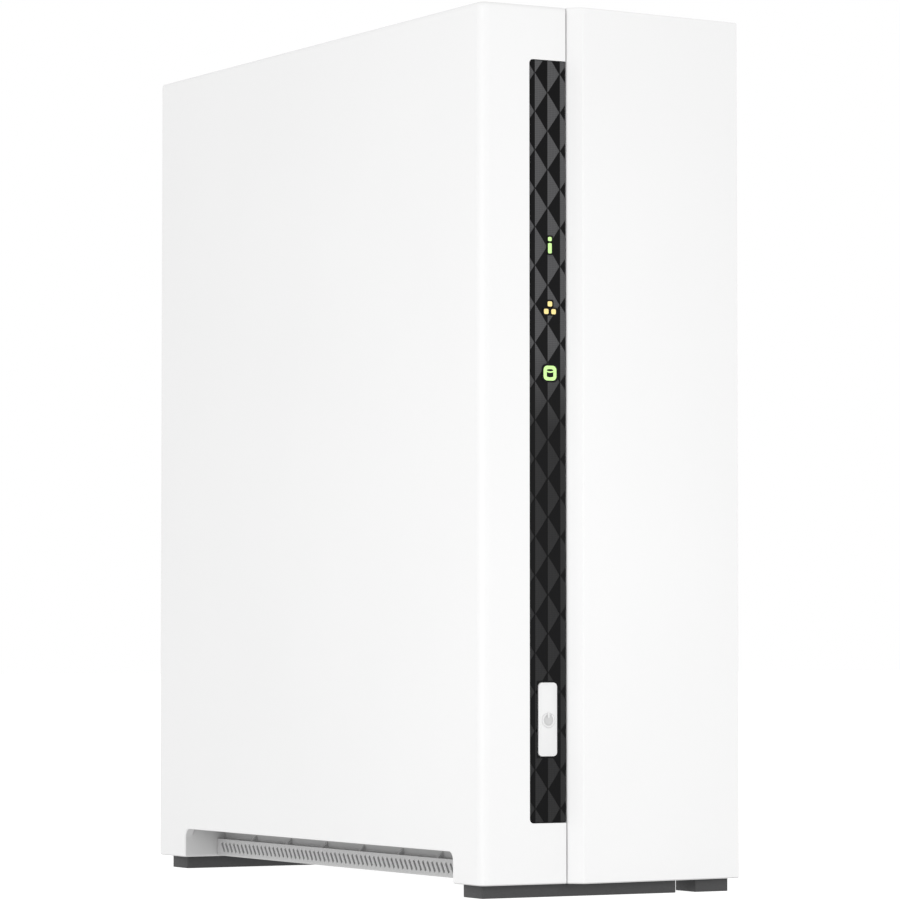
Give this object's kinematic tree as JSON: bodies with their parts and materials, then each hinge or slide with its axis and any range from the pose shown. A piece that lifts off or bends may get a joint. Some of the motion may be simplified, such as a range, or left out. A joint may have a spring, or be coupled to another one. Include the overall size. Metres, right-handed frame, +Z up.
{
  "type": "network attached storage",
  "caption": "Desktop network storage unit: two-part white case with a wedge front, black faceted light strip, power button, rear fan and ports, and a hard drive standing inside.",
  "frame": {"origin": "on the surface it stands on, under the middle of the case", "axes": "+X to the right seen from the front, +Y towards the back panel, +Z up"},
  "size_m": [0.065, 0.158, 0.1886],
  "materials": {
    "white_plastic": "fine spark texture",
    "front_slab_plastic": "fine spark texture",
    "tray_plastic": "fine matt",
    "rear_panel_plastic": "fine matt",
    "strip_gloss": "gloss with faceted pattern",
    "green_lens": "lit translucent",
    "amber_lens": "lit translucent",
    "clear_guide": "clear moulded",
    "button_white": "satin",
    "dark_rubber": "matt",
    "board_green": "solder mask",
    "black_epoxy": "moulded",
    "black_plastic": "moulded",
    "aluminium": "cast",
    "heatsink_metal": "anodised",
    "bright_steel": "brushed",
    "plated_steel": "nickel plated",
    "zinc_steel": "zinc plated sheet",
    "platter_mirror": "polished",
    "magnet_steel": "nickel plated",
    "ceramic_white": "matt",
    "cable_white": "satin",
    "cable_black": "satin",
    "copper": "enamelled"
  },
  "bodies": {
    "chassis": {"left_shell": "white_plastic", "vent_tray": "tray_plastic", "rear_panel": "rear_panel_plastic", "foot_front_long": "dark_rubber", "foot_rear_long": "dark_rubber", "light_strip": "strip_gloss", "status_lens": "green_lens", "lan_lens": "amber_lens", "disk_lens": "green_lens", "light_guide": "clear_guide", "power_switch": "black_plastic", "front_board": "board_green", "front_leds": "ceramic_white", "front_ribbon_cable": "cable_white", "mainboard": "board_green", "processor": "black_epoxy", "heatsink": "heatsink_metal", "memory_chips": "black_epoxy", "network_transformer": "black_epoxy", "inductors": "black_epoxy", "capacitors": "aluminium", "cell_holder": "black_plastic", "coin_cell": "bright_steel", "buzzer": "black_plastic", "board_headers": "black_plastic", "fan_plug": "black_plastic", "ethernet_jack": "plated_steel", "usb_jack_low": "plated_steel", "usb_jack_high": "plated_steel", "dc_jack": "black_plastic", "reset_switch": "bright_steel", "drive_backplane": "board_green", "sata_socket": "black_plastic", "fan_frame": "black_plastic", "fan_stator": "copper", "fan_cable": "cable_black", "drive_frame": "zinc_steel", "board_screws": "zinc_steel", "frame_screws": "zinc_steel", "panel_screws": "zinc_steel", "fan_screws": "zinc_steel", "cover_screws": "zinc_steel"},
    "cover": {"right_cover": "white_plastic", "front_panel": "front_slab_plastic", "foot_front_short": "dark_rubber", "foot_rear_short": "dark_rubber"},
    "power_button": {"power_button": "button_white", "switch_plunger": "black_plastic"},
    "reset_button": {"reset_button": "black_plastic"},
    "fan_rotor": {"fan_rotor": "black_plastic"},
    "drive": {"drive_case": "aluminium", "drive_lid": "bright_steel", "drive_board": "board_green", "drive_connector": "black_plastic", "coil_magnets": "magnet_steel", "drive_screws": "zinc_steel", "lid_screws": "zinc_steel"},
    "platters": {"platter_stack": "platter_mirror"},
    "head_arm": {"head_arm": "aluminium"}
  },
  "joints": [
    {"name": "cover_slide", "type": "slide", "parent": "chassis", "child": "cover", "axis": [0, -1, 0], "range_m": [0, 0.165]},
    {"name": "power_button_press", "type": "slide", "parent": "chassis", "child": "power_button", "axis": [0, 1, 0], "range_m": [0, 0.0008], "stiffness_N_per_m": 1200, "springref_m": -0.0006},
    {"name": "reset_button_press", "type": "slide", "parent": "chassis", "child": "reset_button", "axis": [0, -1, 0], "range_m": [0, 0.0006], "stiffness_N_per_m": 1200, "springref_m": -0.0004},
    {"name": "fan_spin", "type": "hinge", "parent": "chassis", "child": "fan_rotor", "pos_m": [0, 0.0685, 0.151], "axis": [0, 1, 0], "continuous": true},
    {"name": "drive_lift", "type": "slide", "parent": "chassis", "child": "drive", "axis": [0, 0, 1], "range_m": [0, 0.009]},
    {"name": "platter_spin", "type": "hinge", "parent": "drive", "child": "platters", "pos_m": [0.008, 0, 0.1225], "axis": [1, 0, 0], "continuous": true},
    {"name": "arm_swing", "type": "hinge", "parent": "drive", "child": "head_arm", "pos_m": [0.008, 0.016, 0.062], "axis": [1, 0, 0], "range_deg": [-38, 0]}
  ]
}
